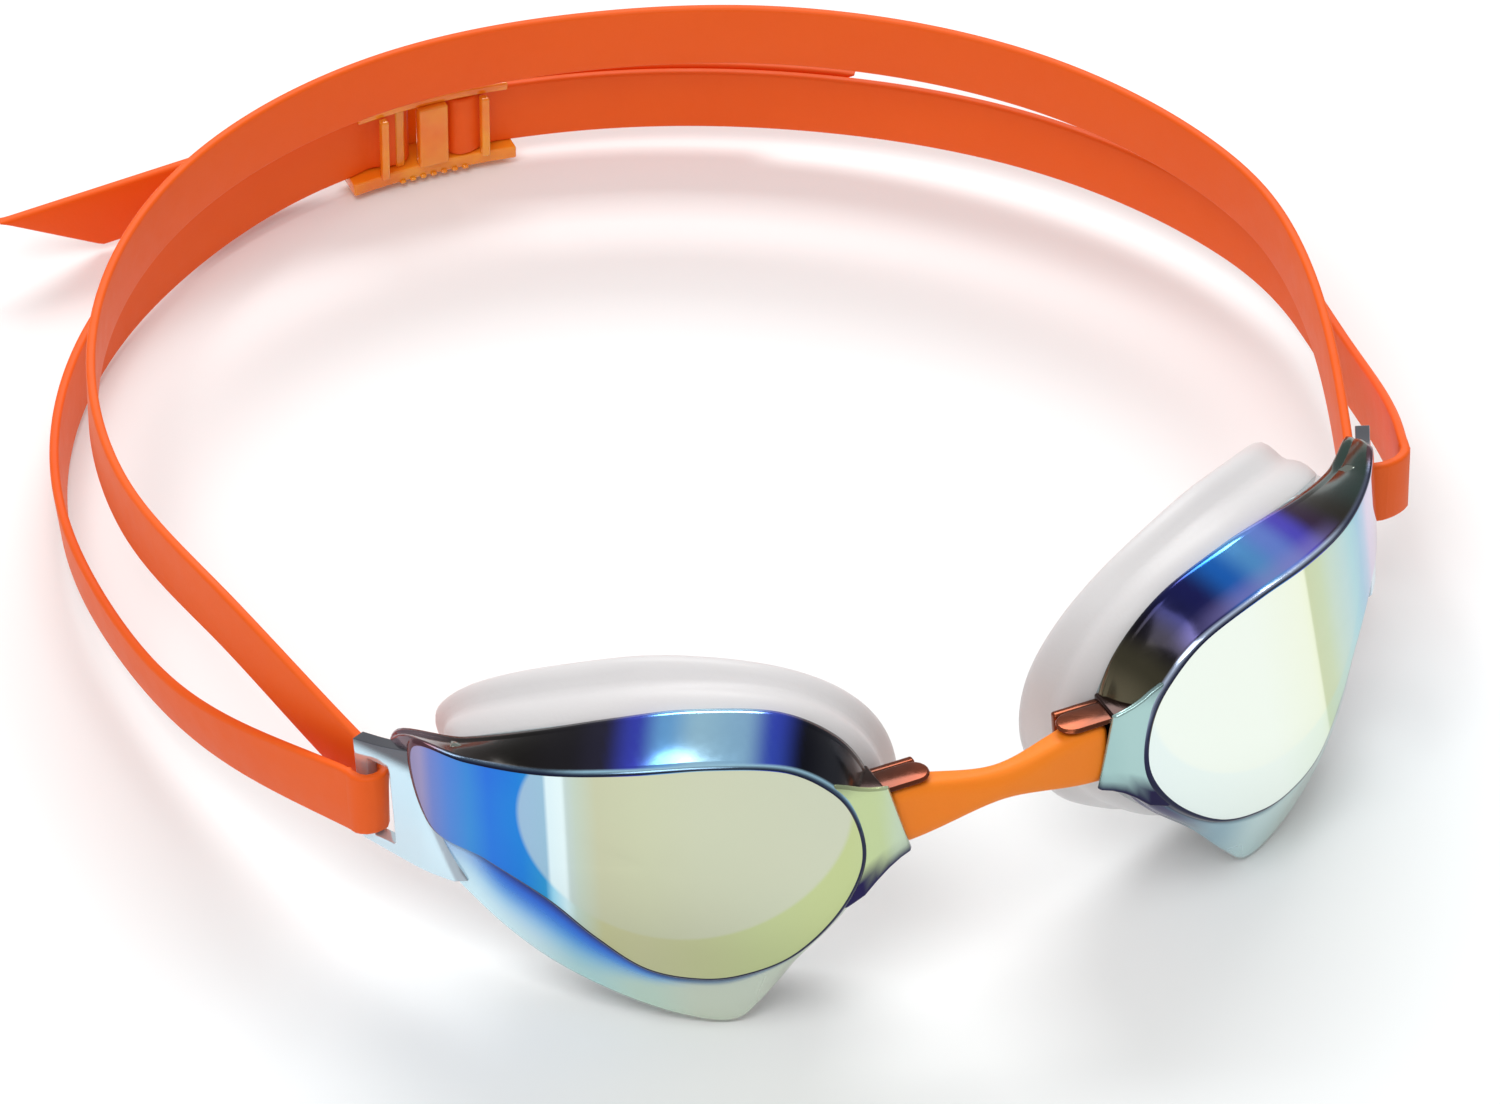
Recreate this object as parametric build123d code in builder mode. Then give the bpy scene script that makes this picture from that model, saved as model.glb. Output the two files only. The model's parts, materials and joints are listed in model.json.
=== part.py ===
from build123d import *
import os
from math import cos, hypot, pi, radians, sin, sqrt

# Racing swim goggles: two one-piece mirrored lenses with a strap lug at the temple and a socket
# at the nose, a soft gasket behind each lens, a nose bridge that clips into both sockets, and one
# long silicone strap that runs from a back buckle round both lugs as a lower and an upper band.
# Millimetres. +X is the wearer's left, +Y runs from the lenses to the back of the head, +Z is up.
# The goggles stand on the lens skirts and on the lower band, and the origin is under their centre.

# Where the front stands, and how far it leans back
bridge_y = -89.6
bridge_z = 32.2
lean = 9.5

# Lens: its face is part of an upright cylinder, placed by the chord from its nose to its temple end
face_radius = 58.7
face_half_chord = 32.6
chord_mid_x = 44.9
chord_mid_y = 14.0
chord_turn = 31.5
face_wall = 1.8
lens_depth = 9.0
side_wall = 1.7
skirt_set_back = 2.6
skirt_wall = 2.2

# Temple lug with its strap slot
lug_thickness = 2.2
lug_height = 15.8
lug_centre_z = -2.6
lug_root_x = 68.0
lug_root_y = 22.0
lug_tip_x = 76.4
lug_tip_y = 42.4
bar_width = 2.4
slot_width = 5.0
slot_height = 12.2

# Nose socket and bridge
socket_inner_x = 9.0
socket_outer_x = 20.0
socket_front_y = -3.6
socket_back_y = 4.4
socket_bottom_z = -5.6
socket_top_z = 5.2
socket_wall = 1.4
bridge_tab_x = 16.5
bridge_clearance = 0.12
bridge_waist = 6.4
bridge_depth = 4.4
bridge_arch = 1.6
bridge_pull = 14.0

# Gasket behind the lens: a collar on the lens and a wider lip on the face
collar_depth = 5.0
web_depth = 2.0
lip_depth = 6.0
gasket_wall = 2.8

# Strap: both bands follow one oval ring, seen from above, at their own heights
strap_width = 10.6
strap_thickness = 1.4
ring_half_width = 88.5
ring_side_y = 3.5
ring_back_y = 86.7
ring_fullness = 1.93
ring_skew = 15.0
ring_samples = 7
ring_run_out = 12.0
leg_radius = 2.5
split_radius = 11.0
split_gap = 0.35

# Heights of the bands' middle line, from just behind the lug to the middle of the back
upper_right_heights = [(-35.0, 26.8), (-16.0, 29.4), (18.0, 25.9), (50.0, 24.4), (86.7, 24.2)]
upper_left_heights = [(-35.0, 24.8), (-16.0, 25.9), (18.0, 25.8), (50.0, 26.2), (86.7, 24.2)]
lower_right_heights = [(-35.0, 16.8), (-16.0, 12.6), (18.0, 8.8), (50.0, 6.0), (68.0, 5.2), (86.7, 7.8)]
lower_left_heights = [(-35.0, 16.4), (-16.0, 11.8), (18.0, 10.4), (50.0, 10.1), (68.0, 9.0), (86.7, 7.8)]

# Back buckle and strap tails
buckle_centre_x = -9.0
buckle_length = 26.0
buckle_rail = 2.2
buckle_bar = 2.6
buckle_plate = 1.5
buckle_play = 0.2
left_tail_tip_x = -75.0
right_tail_tip_x = 52.0
tail_point = 15.0
tail_slope = 0.05
centre_bar = 3.0
centre_bar_inset = 0.5
tail_gap = 0.3
fold_length = 2.0
fold_reach = 4.5
buckle_room = 0.8

# Cutting and blocking out: further than any piece reaches, and how far a cut runs past a face
clear_height = 60.0
clear_depth = 30.0
cut_margin = 0.1

os.makedirs("parts", exist_ok=True)

# The pieces of the front are drawn upright with the bridge at the origin, then put in this place
front = Plane(
    origin=(0, bridge_y, bridge_z),
    x_dir=(1, 0, 0),
    z_dir=(0, sin(radians(lean)), cos(radians(lean))),
)
turn = radians(chord_turn)
chord = Plane(
    origin=(chord_mid_x, chord_mid_y, 0),
    x_dir=(cos(turn), sin(turn), 0),
    z_dir=(sin(turn), -cos(turn), 0),
)
axis_set_back = sqrt(face_radius**2 - face_half_chord**2)
face_axis = chord.origin - chord.z_dir * axis_set_back
flat_forward = Vector(sin(turn), -cos(turn))

# Outlines seen from in front of a left lens: x from its nose end to its temple end, y up
lens_top = [(-32.0, 4.8), (-22.0, 12.6), (-4.0, 16.2), (16.0, 14.0), (30.4, 8.6)]
lens_bottom = [
    (30.4, 8.6),
    (28.0, -7.0),
    (19.5, -18.5),
    (7.0, -25.5),
    (-10.5, -31.4),
    (-20.5, -24.0),
    (-32.0, 4.8),
]
cup_top = [(-28.4, 4.0), (-20.0, 9.4), (-2.0, 12.2), (16.0, 10.4), (26.0, 5.6)]
cup_bottom = [
    (26.0, 5.6),
    (22.5, -5.0),
    (14.0, -13.0),
    (0.0, -19.4),
    (-13.0, -20.6),
    (-22.5, -14.5),
    (-28.4, 4.0),
]
lip_top = [(-30.4, 2.0), (-22.0, 14.5), (-4.0, 20.2), (15.7, 17.0), (30.4, 6.0)]
lip_bottom = [
    (30.4, 6.0),
    (26.5, -6.0),
    (17.6, -15.0),
    (2.0, -22.4),
    (-14.0, -24.0),
    (-26.4, -17.0),
    (-31.0, -7.0),
    (-30.4, 2.0),
]
outline_middle = (-1.5, -5.0)
lens_outline = (lens_top, lens_bottom)
cup_outline = (cup_top, cup_bottom)
lip_outline = (lip_top, lip_bottom)

# The bar that the strap turns round, in the front's own frame and in the standing one
lug_run = Vector(lug_tip_x - lug_root_x, lug_tip_y - lug_root_y, 0)
bar_centre = Vector(lug_tip_x, lug_tip_y, lug_centre_z) - lug_run.normalized() * (bar_width / 2)
hinge = front.from_local_coords(bar_centre)
back_height = lower_left_heights[-1][1]


def curved_slab(front_depth, back_depth):
    """The upright slab that follows the face's curve between two depths behind it."""
    with BuildPart() as slab:
        with BuildSketch(Plane(origin=face_axis - Vector(0, 0, clear_height))):
            with Locations(Vector(0, 0) - flat_forward * front_depth):
                Circle(face_radius)
            with Locations(Vector(0, 0) - flat_forward * back_depth):
                Circle(face_radius, mode=Mode.SUBTRACT)
        extrude(amount=2 * clear_height)
    return slab.part


def grown(edge, amount):
    """The points of an outline's edge, each moved away from the outline's middle."""
    moved = []
    for x, y in edge:
        away_x = x - outline_middle[0]
        away_y = y - outline_middle[1]
        step = amount / hypot(away_x, away_y)
        moved.append((x + away_x * step, y + away_y * step))
    return moved


def prism(outline, grow=0.0):
    """The outline drawn through the whole lens along the chord plane's forward line."""
    with BuildPart() as block:
        with BuildSketch(chord.offset(-clear_depth)):
            with BuildLine():
                for edge in outline:
                    Spline(*grown(edge, grow))
            make_face()
        extrude(amount=2 * clear_depth)
    return block.part


def lug():
    """The temple wing: a plate that runs back from the lens to the bar, with the slot before it."""
    plate = Plane(
        origin=(lug_root_x, lug_root_y, lug_centre_z),
        x_dir=lug_run,
        z_dir=(lug_run.Y, -lug_run.X, 0),
    )
    slot_middle = lug_run.length - bar_width - slot_width / 2
    with BuildPart() as wing:
        with BuildSketch(plate):
            with Locations((lug_run.length / 2, 0)):
                Rectangle(lug_run.length, lug_height)
            with Locations((slot_middle, 0)):
                Rectangle(slot_width, slot_height, mode=Mode.SUBTRACT)
        extrude(amount=lug_thickness / 2, both=True)
    return wing.part


def nose_socket():
    """The solid block at the nose end that the bridge's tab fits into."""
    middle = ((socket_inner_x + socket_outer_x) / 2, (socket_front_y + socket_back_y) / 2)
    with BuildPart() as block:
        with BuildSketch(Plane.XY.offset(socket_bottom_z)):
            with Locations(middle):
                Rectangle(socket_outer_x - socket_inner_x, socket_back_y - socket_front_y)
        extrude(amount=socket_top_z - socket_bottom_z)
    return block.part


def tab_pocket():
    """The pocket in a nose socket: closed above, open below and towards the other lens."""
    depth = socket_back_y - socket_front_y - 2 * socket_wall
    width = bridge_tab_x + 2 * bridge_clearance - socket_inner_x
    with BuildPart() as pocket:
        with BuildSketch(Plane.XY.offset(socket_top_z - socket_wall)):
            with Locations((socket_inner_x + width / 2, (socket_front_y + socket_back_y) / 2)):
                Rectangle(width, depth)
        extrude(amount=-bridge_pull)
    return pocket.part


def block_between(outline, grow, front_depth, back_depth):
    """The outline's block, cut to the face's curve at two depths."""
    with BuildPart() as block:
        add(curved_slab(front_depth, back_depth))
        add(prism(outline, grow), mode=Mode.INTERSECT)
    return block.part


def upright_lens():
    """A left lens in its upright place: cup, skirt, lug and nose socket in one piece."""
    with BuildPart() as lens:
        add(block_between(cup_outline, side_wall, 0, lens_depth))
        add(block_between(lens_outline, 0, skirt_set_back, skirt_set_back + skirt_wall))
        add(lug())
        add(block_between(cup_outline, 0, face_wall, 2 * lens_depth), mode=Mode.SUBTRACT)
        add(nose_socket())
        add(tab_pocket(), mode=Mode.SUBTRACT)
    return lens.part


def upright_gasket():
    """A left gasket: a collar behind the lens, a web outwards from it, and the lip for the face."""
    web_start = lens_depth + collar_depth
    lip_end = web_start + lip_depth
    with BuildPart() as gasket:
        add(block_between(lip_outline, 0, web_start, lip_end))
        add(block_between(lip_outline, -gasket_wall, web_start + web_depth, 2 * lip_end), mode=Mode.SUBTRACT)
        add(block_between(cup_outline, side_wall, lens_depth, web_start))
        add(prism(cup_outline, side_wall - gasket_wall), mode=Mode.SUBTRACT)
    return gasket.part


def upright_bridge():
    """The nose bridge: an arched bar, waisted in the middle, with a flat tab at each end."""
    half_depth = (socket_back_y - socket_front_y) / 2 - socket_wall - bridge_clearance
    middle_y = (socket_front_y + socket_back_y) / 2
    front_y = middle_y - half_depth
    back_y = middle_y + half_depth
    top = socket_top_z - socket_wall - bridge_clearance
    middle_z = (top + socket_bottom_z) / 2
    end_x = socket_inner_x - bridge_clearance
    with BuildPart() as bridge:
        with BuildSketch(Plane.XY.offset(socket_bottom_z)):
            with BuildLine():
                ThreePointArc((-end_x, front_y), (0, front_y - bridge_arch), (end_x, front_y))
                Line((end_x, front_y), (end_x, back_y))
                ThreePointArc((end_x, back_y), (0, front_y - bridge_arch + bridge_depth), (-end_x, back_y))
                Line((-end_x, back_y), (-end_x, front_y))
            make_face()
        extrude(amount=top - socket_bottom_z)
        for side in (1, -1):
            edge_z = middle_z + side * (top - socket_bottom_z) / 2
            with BuildSketch(Plane.XZ.offset(-2 * bridge_tab_x)):
                with BuildLine():
                    ThreePointArc((-end_x, edge_z), (0, middle_z + side * bridge_waist / 2), (end_x, edge_z))
                    Line((end_x, edge_z), (-end_x, edge_z))
                make_face()
            extrude(amount=4 * bridge_tab_x, mode=Mode.SUBTRACT)
        with BuildSketch(Plane.XY.offset(socket_bottom_z)):
            for side in (1, -1):
                with Locations((side * (end_x + bridge_tab_x) / 2, middle_y)):
                    Rectangle(bridge_tab_x - end_x, 2 * half_depth)
        extrude(amount=top - socket_bottom_z)
    return bridge.part


def ring_outline(shift):
    """Half of the oval ring from its start at the lug to the middle of the back, moved outwards."""
    start_x = hinge.X + shift
    start_y = hinge.Y
    width = ring_half_width + shift
    depth = ring_back_y - ring_side_y + shift
    points = [(start_x, start_y)]
    for i in range(ring_samples):
        angle = pi / 2 * i / (ring_samples - 1)
        x = width * cos(angle) ** (2 / ring_fullness) if i < ring_samples - 1 else 0
        y = ring_side_y + depth * sin(angle) ** (2 / ring_fullness)
        points.append((x, y))
    return points


def skewed(x, y):
    """A point of the ring, pushed towards the wearer's right the further back it lies."""
    behind = max(y - ring_side_y, 0) / (ring_back_y - ring_side_y)
    return (x - ring_skew * behind**2, y)


def ring_region(shift):
    """Everything inside the ring, seen from above."""
    half = ring_outline(shift)
    ring = half + [(-x, y) for x, y in half[-2::-1]]
    points = [skewed(x, y) for x, y in ring]
    with BuildSketch() as region:
        with BuildLine():
            Spline(*points)
            Line(points[-1], points[0])
        make_face()
    return region.sketch


def height_slab(heights, side):
    """The space that a band's edges leave between them on one side of the head."""
    line = [(hinge.Y, hinge.Z), *heights, (heights[-1][0] + ring_run_out, heights[-1][1])]
    with BuildPart() as slab:
        with BuildSketch(Plane.YZ):
            with BuildLine():
                Spline(*[(y, z + strap_width / 2) for y, z in line])
                Line(*[(line[-1][0], line[-1][1] + s * strap_width / 2) for s in (1, -1)])
                Spline(*[(y, z - strap_width / 2) for y, z in line])
                Line(*[(line[0][0], line[0][1] + s * strap_width / 2) for s in (1, -1)])
            make_face()
        extrude(amount=side * 2 * ring_half_width)
    return slab.part


def half_band(shift, heights, side):
    """The band's wall along the ring, cut to the band's edges on one side of the head."""
    with BuildPart() as half:
        with BuildSketch():
            add(ring_region(shift + strap_thickness / 2))
            add(ring_region(shift - strap_thickness / 2), mode=Mode.SUBTRACT)
        extrude(amount=clear_height)
        add(height_slab(heights, side), mode=Mode.INTERSECT)
    return half.part


def band(shift, right_heights, left_heights):
    """One band of the strap, from just behind one lug round the head to the other."""
    with BuildPart() as piece:
        add(half_band(shift, right_heights, -1))
        add(half_band(shift, left_heights, 1))
        with BuildSketch(Plane.YZ.offset(-2 * ring_half_width)):
            with Locations((hinge.Y, hinge.Z)):
                Circle(split_radius + split_gap)
        extrude(amount=4 * ring_half_width, mode=Mode.SUBTRACT)
    return piece.part


def strip_between(inner, outer, low_x, high_x, low_z, high_z):
    """A piece of the ring at the back: between two shifts, two sides and two heights."""
    with BuildPart() as strip:
        with BuildSketch(Plane.XY.offset(low_z)):
            add(ring_region(outer))
            add(ring_region(inner), mode=Mode.SUBTRACT)
            with Locations(((low_x + high_x) / 2, ring_back_y)):
                Rectangle(high_x - low_x, ring_back_y, mode=Mode.INTERSECT)
        extrude(amount=high_z - low_z)
    return strip.part


def upright_loop():
    """The stretch of strap that turns round the left lug's bar, through its slot."""
    with BuildPart() as loop:
        with BuildSketch(Plane.XY.offset(lug_centre_z - strap_width / 2)):
            with Locations((bar_centre.X, bar_centre.Y)):
                Circle(leg_radius + strap_thickness / 2)
                Circle(leg_radius - strap_thickness / 2, mode=Mode.SUBTRACT)
            with Locations((bar_centre.X, bar_centre.Y + split_radius / 2)):
                Rectangle(4 * leg_radius, split_radius, mode=Mode.SUBTRACT)
            for side in (-1, 1):
                with Locations((bar_centre.X + side * leg_radius, bar_centre.Y + split_radius / 2)):
                    Rectangle(strap_thickness, split_radius)
        extrude(amount=strap_width)
        with BuildSketch(Plane.YZ.offset(bar_centre.X - 2 * leg_radius)):
            with Locations((bar_centre.Y, bar_centre.Z)):
                Circle(split_radius)
        extrude(amount=4 * leg_radius, mode=Mode.INTERSECT)
    return loop.part


def left_tail():
    """The free end of the strap that leaves the buckle towards the wearer's right, cut at a slant."""
    start_x = buckle_centre_x - centre_bar
    start_y = ring_back_y + leg_radius + strap_thickness / 2 + tail_gap
    plane = Plane(
        origin=(start_x, start_y, back_height),
        x_dir=(-1, tail_slope, 0),
        z_dir=(tail_slope, 1, 0),
    )
    length = start_x - left_tail_tip_x
    half = strap_width / 2
    with BuildPart() as tail:
        with BuildSketch(plane):
            with BuildLine():
                Polyline((0, half), (length, half), (length - tail_point, -half), (0, -half), close=True)
            make_face()
        extrude(amount=strap_thickness)
    return tail.part


def right_tail():
    """The other free end, which lies against the outside of the lower band."""
    inner = leg_radius + strap_thickness / 2 + tail_gap
    start_x = buckle_centre_x + centre_bar
    half = strap_width / 2
    low_z = back_height - half
    high_z = back_height + half
    with BuildPart() as tail:
        add(strip_between(inner, inner + strap_thickness, start_x, right_tail_tip_x, low_z, high_z))
        with BuildSketch(Plane.XZ.offset(-2 * ring_back_y)):
            with BuildLine():
                Polyline(
                    (start_x, high_z),
                    (right_tail_tip_x, high_z),
                    (right_tail_tip_x - tail_point, low_z),
                    (start_x, low_z),
                    close=True,
                )
            make_face()
        extrude(amount=2 * ring_back_y, mode=Mode.INTERSECT)
    return tail.part


def tail_fold(side):
    """Where a tail is folded back on its band over the buckle's wrap bar."""
    ends = sorted((buckle_centre_x + side * centre_bar, buckle_centre_x + side * (centre_bar + fold_length)))
    half = strap_width / 2
    return strip_between(leg_radius, fold_reach, *ends, back_height - half, back_height + half)


def buckle_window(side, inside, low_z, high_z):
    """The window between the centre bar and an end bar, which the strap passes through."""
    near = buckle_centre_x + side * centre_bar
    far = buckle_centre_x + side * (buckle_length / 2 - buckle_bar)
    back = inside - buckle_plate - cut_margin
    return strip_between(back, inside + cut_margin, min(near, far), max(near, far), low_z, high_z)


def back_buckle():
    """A curved frame: rails above and below the strap, bars inside it and one bar outside it."""
    inside = leg_radius - strap_thickness / 2 - buckle_play
    outside = leg_radius + 1.5 * strap_thickness + tail_gap + buckle_room
    low_x = buckle_centre_x - buckle_length / 2
    high_x = buckle_centre_x + buckle_length / 2
    bar_low_x = buckle_centre_x - centre_bar + centre_bar_inset
    bar_high_x = buckle_centre_x + centre_bar - centre_bar_inset
    opening_low = back_height - strap_width / 2 - buckle_play
    opening_high = back_height + strap_width / 2 + buckle_play
    low_z = opening_low - buckle_rail
    high_z = opening_high + buckle_rail
    with BuildPart() as frame:
        add(strip_between(inside - buckle_plate, outside, low_x, high_x, low_z, high_z))
        add(
            strip_between(inside, outside + cut_margin, low_x, high_x, opening_low, opening_high),
            mode=Mode.SUBTRACT,
        )
        add(buckle_window(-1, inside, opening_low, opening_high), mode=Mode.SUBTRACT)
        add(buckle_window(1, inside, opening_low, opening_high), mode=Mode.SUBTRACT)
        add(strip_between(outside, outside + buckle_plate, bar_low_x, bar_high_x, low_z, high_z))
    return frame.part


def on_right(shape):
    """The same piece for the wearer's right side."""
    return mirror(shape, about=Plane.YZ)


def save(piece, name):
    piece.part.label = name
    export_step(piece.part, f"parts/{name}.step")
    box = piece.part.bounding_box()
    print(name, len(piece.part.solids()), round(piece.part.volume), box.min, box.max)


lens = front.from_local_coords(upright_lens())
with BuildPart() as left_lens:
    add(lens)
save(left_lens, "left_lens")
with BuildPart() as right_lens:
    add(on_right(lens))
save(right_lens, "right_lens")

gasket = front.from_local_coords(upright_gasket())
with BuildPart() as left_gasket:
    add(gasket)
save(left_gasket, "left_gasket")
with BuildPart() as right_gasket:
    add(on_right(gasket))
save(right_gasket, "right_gasket")

with BuildPart() as nose_bridge:
    add(front.from_local_coords(upright_bridge()))
save(nose_bridge, "nose_bridge")

loop = front.from_local_coords(upright_loop())
with BuildPart() as left_strap_loop:
    add(loop)
save(left_strap_loop, "left_strap_loop")
with BuildPart() as right_strap_loop:
    add(on_right(loop))
save(right_strap_loop, "right_strap_loop")

with BuildPart() as upper_strap_band:
    add(band(-leg_radius, upper_right_heights, upper_left_heights))
save(upper_strap_band, "upper_strap_band")

with BuildPart() as lower_strap_band:
    add(band(leg_radius, lower_right_heights, lower_left_heights))
    add(left_tail())
    add(right_tail())
    add(tail_fold(-1))
    add(tail_fold(1))
save(lower_strap_band, "lower_strap_band")

with BuildPart() as buckle:
    add(back_buckle())
save(buckle, "buckle")

print("hinge", hinge)
print("slide axis of the nose bridge", -front.z_dir)
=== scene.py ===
import json
from math import asin, cos, pi, radians, sin, sqrt

import bmesh
import bpy
import numpy as np
from mathutils import Matrix, Vector


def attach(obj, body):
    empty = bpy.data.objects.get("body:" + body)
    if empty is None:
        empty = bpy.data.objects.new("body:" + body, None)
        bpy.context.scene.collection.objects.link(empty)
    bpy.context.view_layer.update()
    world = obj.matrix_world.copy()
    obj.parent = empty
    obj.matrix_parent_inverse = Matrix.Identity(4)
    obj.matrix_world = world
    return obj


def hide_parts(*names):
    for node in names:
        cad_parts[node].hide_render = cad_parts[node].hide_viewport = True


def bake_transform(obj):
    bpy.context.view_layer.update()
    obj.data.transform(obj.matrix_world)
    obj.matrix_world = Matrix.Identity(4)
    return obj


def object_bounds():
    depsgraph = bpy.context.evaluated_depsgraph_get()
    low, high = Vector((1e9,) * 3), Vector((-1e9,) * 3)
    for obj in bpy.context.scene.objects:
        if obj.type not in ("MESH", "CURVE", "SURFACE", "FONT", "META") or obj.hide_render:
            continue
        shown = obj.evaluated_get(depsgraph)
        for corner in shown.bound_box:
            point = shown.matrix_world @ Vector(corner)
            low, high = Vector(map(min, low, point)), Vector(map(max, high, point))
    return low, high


# Racing swim goggles on a pale floor. Metres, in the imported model's frame: +X is the wearer's left,
# +Y runs from the lenses to the back of the head, +Z is up. The pieces of the front are shaped
# upright, with the nose bridge at the origin and in millimetres, and then put in their place.

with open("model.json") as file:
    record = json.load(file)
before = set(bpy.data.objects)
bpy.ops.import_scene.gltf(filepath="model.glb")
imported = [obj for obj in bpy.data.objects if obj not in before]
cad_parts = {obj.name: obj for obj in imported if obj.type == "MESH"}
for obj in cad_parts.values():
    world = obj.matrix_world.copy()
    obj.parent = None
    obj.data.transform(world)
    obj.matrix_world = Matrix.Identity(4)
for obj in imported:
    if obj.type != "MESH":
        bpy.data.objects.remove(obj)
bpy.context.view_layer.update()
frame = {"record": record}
joints = {joint["name"]: joint for joint in frame["record"]["behaviour"]["joints"]}
MM = 0.001
SIDES = {"left": 1, "right": -1}

# The front's own directions, and its origin, found from the axis that the strap's bands turn about
UP = -Vector(joints["bridge_release"]["axis"]).normalized()
BACK = Vector((0, UP.z, -UP.y))
BAR = Vector((75.94, 41.15, -2.6))
BAR_AXIS = Vector(joints["upper_band_spread"]["pos_m"])
FRONT = BAR_AXIS - BACK * BAR.y * MM - UP * BAR.z * MM

# The lens face is part of an upright cylinder, placed by the chord from its nose to its temple end
FACE_RADIUS = 58.7
CHORD_MIDDLE = (44.9, 14.0)
CHORD_TURN = radians(31.5)
HALF_CHORD = 32.6
SET_BACK = sqrt(FACE_RADIUS**2 - HALF_CHORD**2)

# Strap
STRAP_WIDTH = 10.6
STRAP_THICKNESS = 1.4
LEG_RADIUS = 2.5
RING_HALF_WIDTH = 88.5
RING_SIDE_Y = 3.5
RING_BACK_Y = 86.7
RING_FULLNESS = 1.93
RING_SKEW = 15.0
BACK_HEIGHT = 9.0
BUCKLE_X = -9.0
BUCKLE_LENGTH = 25.0


# ---------------------------------------------------------------- small helpers


def placed(point, side=1):
    """A point of the upright front, in millimetres, at its place in the standing goggles."""
    x, y, z = point
    return FRONT + Vector((side * x * MM, 0, 0)) + BACK * (y * MM) + UP * (z * MM)


def chord_point(u, forward, z):
    """A point at u along the lens's chord, at a distance in front of it, and at height z."""
    x = CHORD_MIDDLE[0] + cos(CHORD_TURN) * u + sin(CHORD_TURN) * forward
    y = CHORD_MIDDLE[1] + sin(CHORD_TURN) * u - cos(CHORD_TURN) * forward
    return Vector((x, y, z))


def lens_point(u, z, depth=0.0):
    """A point at u along the chord, at height z, and at a depth behind the lens's curved face."""
    reach = min(abs(u), FACE_RADIUS * 0.98)
    return chord_point(u, sqrt(FACE_RADIUS**2 - reach**2) - SET_BACK - depth, z)


def smooth_step(low, high, value):
    t = min(max((value - low) / (high - low), 0.0), 1.0)
    return t * t * (3 - 2 * t)


def spline(p0, p1, p2, p3, t):
    """The smooth curve from p1 to p2 at t, from 0 to 1, with p0 before it and p3 after it."""
    squared = 2 * p0 - 5 * p1 + 4 * p2 - p3
    cubed = 3 * p1 - p0 - 3 * p2 + p3
    return (2 * p1 + (p2 - p0) * t + squared * t**2 + cubed * t**3) / 2


def closed_curve(points, count):
    """Evenly numbered points on a smooth closed curve through the given ones."""
    given = np.array(points, float)
    total = len(given)
    result = []
    for k in range(count):
        place = k * total / count
        i = int(place)
        result.append(spline(*(given[(i + j) % total] for j in (-1, 0, 1, 2)), place - i))
    return np.array(result)


def between(values, t):
    """The value at t, from 0 to 1, on a smooth curve through evenly spread values."""
    given = np.array(values, float)
    place = min(max(t, 0.0), 1.0) * (len(given) - 1)
    i = min(int(place), len(given) - 2)
    p1, p2 = given[i], given[i + 1]
    p0 = given[i - 1] if i > 0 else 2 * p1 - p2
    p3 = given[i + 2] if i + 2 < len(given) else 2 * p2 - p1
    return spline(p0, p1, p2, p3, place - i)


def distances_along(points):
    """How far along a line each of its points lies."""
    steps = np.linalg.norm(np.diff(points, axis=0), axis=1)
    return np.concatenate([[0], np.cumsum(steps)])


def join_rows(builder, rows):
    """Faces between each closed row of vertices and the next."""
    for first, second in zip(rows, rows[1:]):
        for i in range(len(first)):
            j = (i + 1) % len(first)
            builder.faces.new((first[i], first[j], second[j], second[i]))


def new_object(name, mesh_builder):
    mesh = bpy.data.meshes.new(name)
    mesh_builder.normal_update()
    bmesh.ops.recalc_face_normals(mesh_builder, faces=mesh_builder.faces)
    mesh_builder.to_mesh(mesh)
    mesh_builder.free()
    for polygon in mesh.polygons:
        polygon.use_smooth = True
    piece = bpy.data.objects.new(name, mesh)
    bpy.context.scene.collection.objects.link(piece)
    return piece


def finish_piece(piece, nodes, body=None, material=None):
    """Gives a piece its body and its material, and hides the CAD nodes that it stands for."""
    if body:
        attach(piece, body)
    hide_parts(*nodes)
    if material:
        piece.data.materials.append(material)
    return piece


def apply_modifiers(piece):
    bpy.context.view_layer.update()
    evaluated = piece.evaluated_get(bpy.context.evaluated_depsgraph_get())
    mesh = bpy.data.meshes.new_from_object(evaluated)
    piece.modifiers.clear()
    piece.data = mesh


def add_modifier(piece, kind, **settings):
    modifier = piece.modifiers.new(kind.lower(), kind)
    for key, value in settings.items():
        setattr(modifier, key, value)


# ---------------------------------------------------------------- materials


def node_material(name):
    """A new material with its node tree, its Principled shader and a maker of further nodes."""
    material = bpy.data.materials.new(name)
    material.use_nodes = True
    tree = material.node_tree
    shader = tree.nodes["Principled BSDF"]

    def make(kind, inputs=None, **settings):
        node = tree.nodes.new(kind)
        for key, value in settings.items():
            setattr(node, key, value)
        for key, value in (inputs or {}).items():
            if isinstance(value, bpy.types.NodeSocket):
                tree.links.new(value, node.inputs[key])
            else:
                node.inputs[key].default_value = value
        return node

    return material, tree, shader, make


def colour(red, green, blue):
    """A display colour, from 0 to 255 a channel, as the linear colour that a shader takes."""
    channels = []
    for value in (red, green, blue):
        share = value / 255
        channels.append(share / 12.92 if share <= 0.04045 else ((share + 0.055) / 1.055) ** 2.4)
    return (*channels, 1.0)


def colour_stops(*rows):
    """Stops of (place, colour) from rows of a place and the three channels."""
    return [(place, colour(*channels)) for place, *channels in rows]


def noise_factor(make, scale, detail):
    """The factor of a noise in the piece's own coordinates."""
    place = make("ShaderNodeTexCoord").outputs["Object"]
    return make("ShaderNodeTexNoise", {"Vector": place, "Scale": scale, "Detail": detail}).outputs["Fac"]


def rough_from_noise(tree, shader, make, scale, detail, low, high):
    """A roughness that varies finely between two values."""
    inputs = {"Value": noise_factor(make, scale, detail), "To Min": low, "To Max": high}
    rough = make("ShaderNodeMapRange", inputs)
    tree.links.new(rough.outputs["Result"], shader.inputs["Roughness"])


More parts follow.
